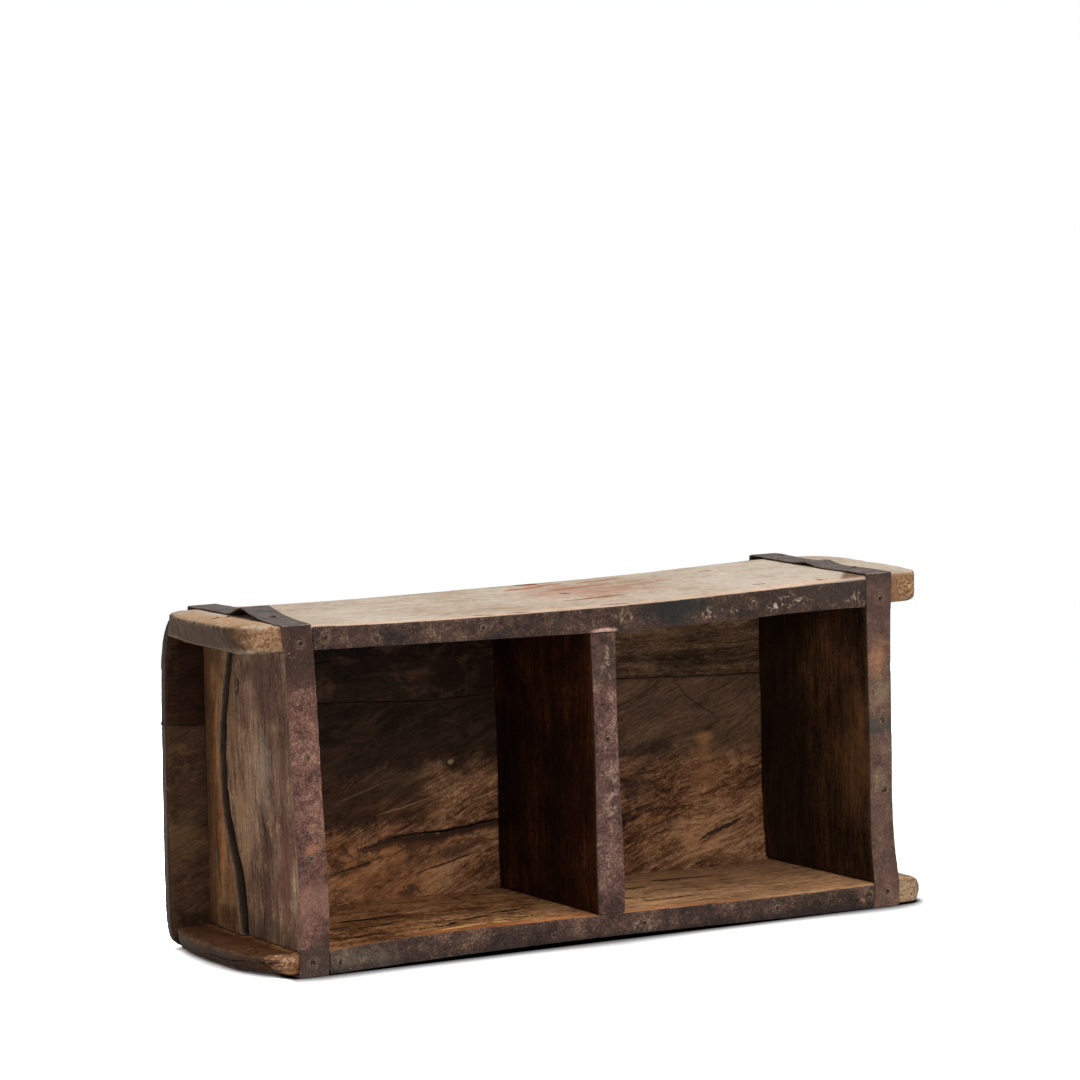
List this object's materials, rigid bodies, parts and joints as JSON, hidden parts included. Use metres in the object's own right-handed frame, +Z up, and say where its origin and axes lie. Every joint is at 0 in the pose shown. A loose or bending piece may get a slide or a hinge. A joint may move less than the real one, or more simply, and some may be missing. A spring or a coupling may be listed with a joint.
{
  "type": "wooden crate",
  "caption": "Old open-fronted wooden crate with a divider, rounded board ends, flat iron bands and nailed iron edge strips.",
  "frame": {"origin": "on the floor, in the middle of the footprint", "axes": "+X along the length to the right as seen from the open front, +Y from the open front to the closed back, +Z up"},
  "size_m": [0.6414, 0.174, 0.2792],
  "materials": {
    "board_wood": "weathered pale tan hardwood, open grain, worn edges",
    "end_wood": "dark stained old hardwood, rough, unpolished",
    "back_wood": "dark figured old hardwood, rough, unpolished",
    "band_iron": "flat wrought iron, dark brown rust, matt",
    "nail_iron": "rusted iron nails, matt"
  },
  "bodies": {
    "root": {"top_board": "board_wood", "bottom_board": "board_wood", "back_plank_upper": "back_wood", "back_plank_lower": "back_wood", "left_end_plank_front": "end_wood", "left_end_plank_rear": "end_wood", "right_end_board": "end_wood", "divider_board": "end_wood", "left_strap": "band_iron", "right_strap": "band_iron", "top_edge_strip": "band_iron", "bottom_edge_strip": "band_iron", "divider_strip": "band_iron", "left_strap_nails": "nail_iron", "right_strap_nails": "nail_iron", "top_strip_nails": "nail_iron", "bottom_strip_nails": "nail_iron", "divider_strip_nails": "nail_iron", "back_plank_upper_nails": "nail_iron", "back_plank_lower_nails": "nail_iron"}
  },
  "joints": []
}
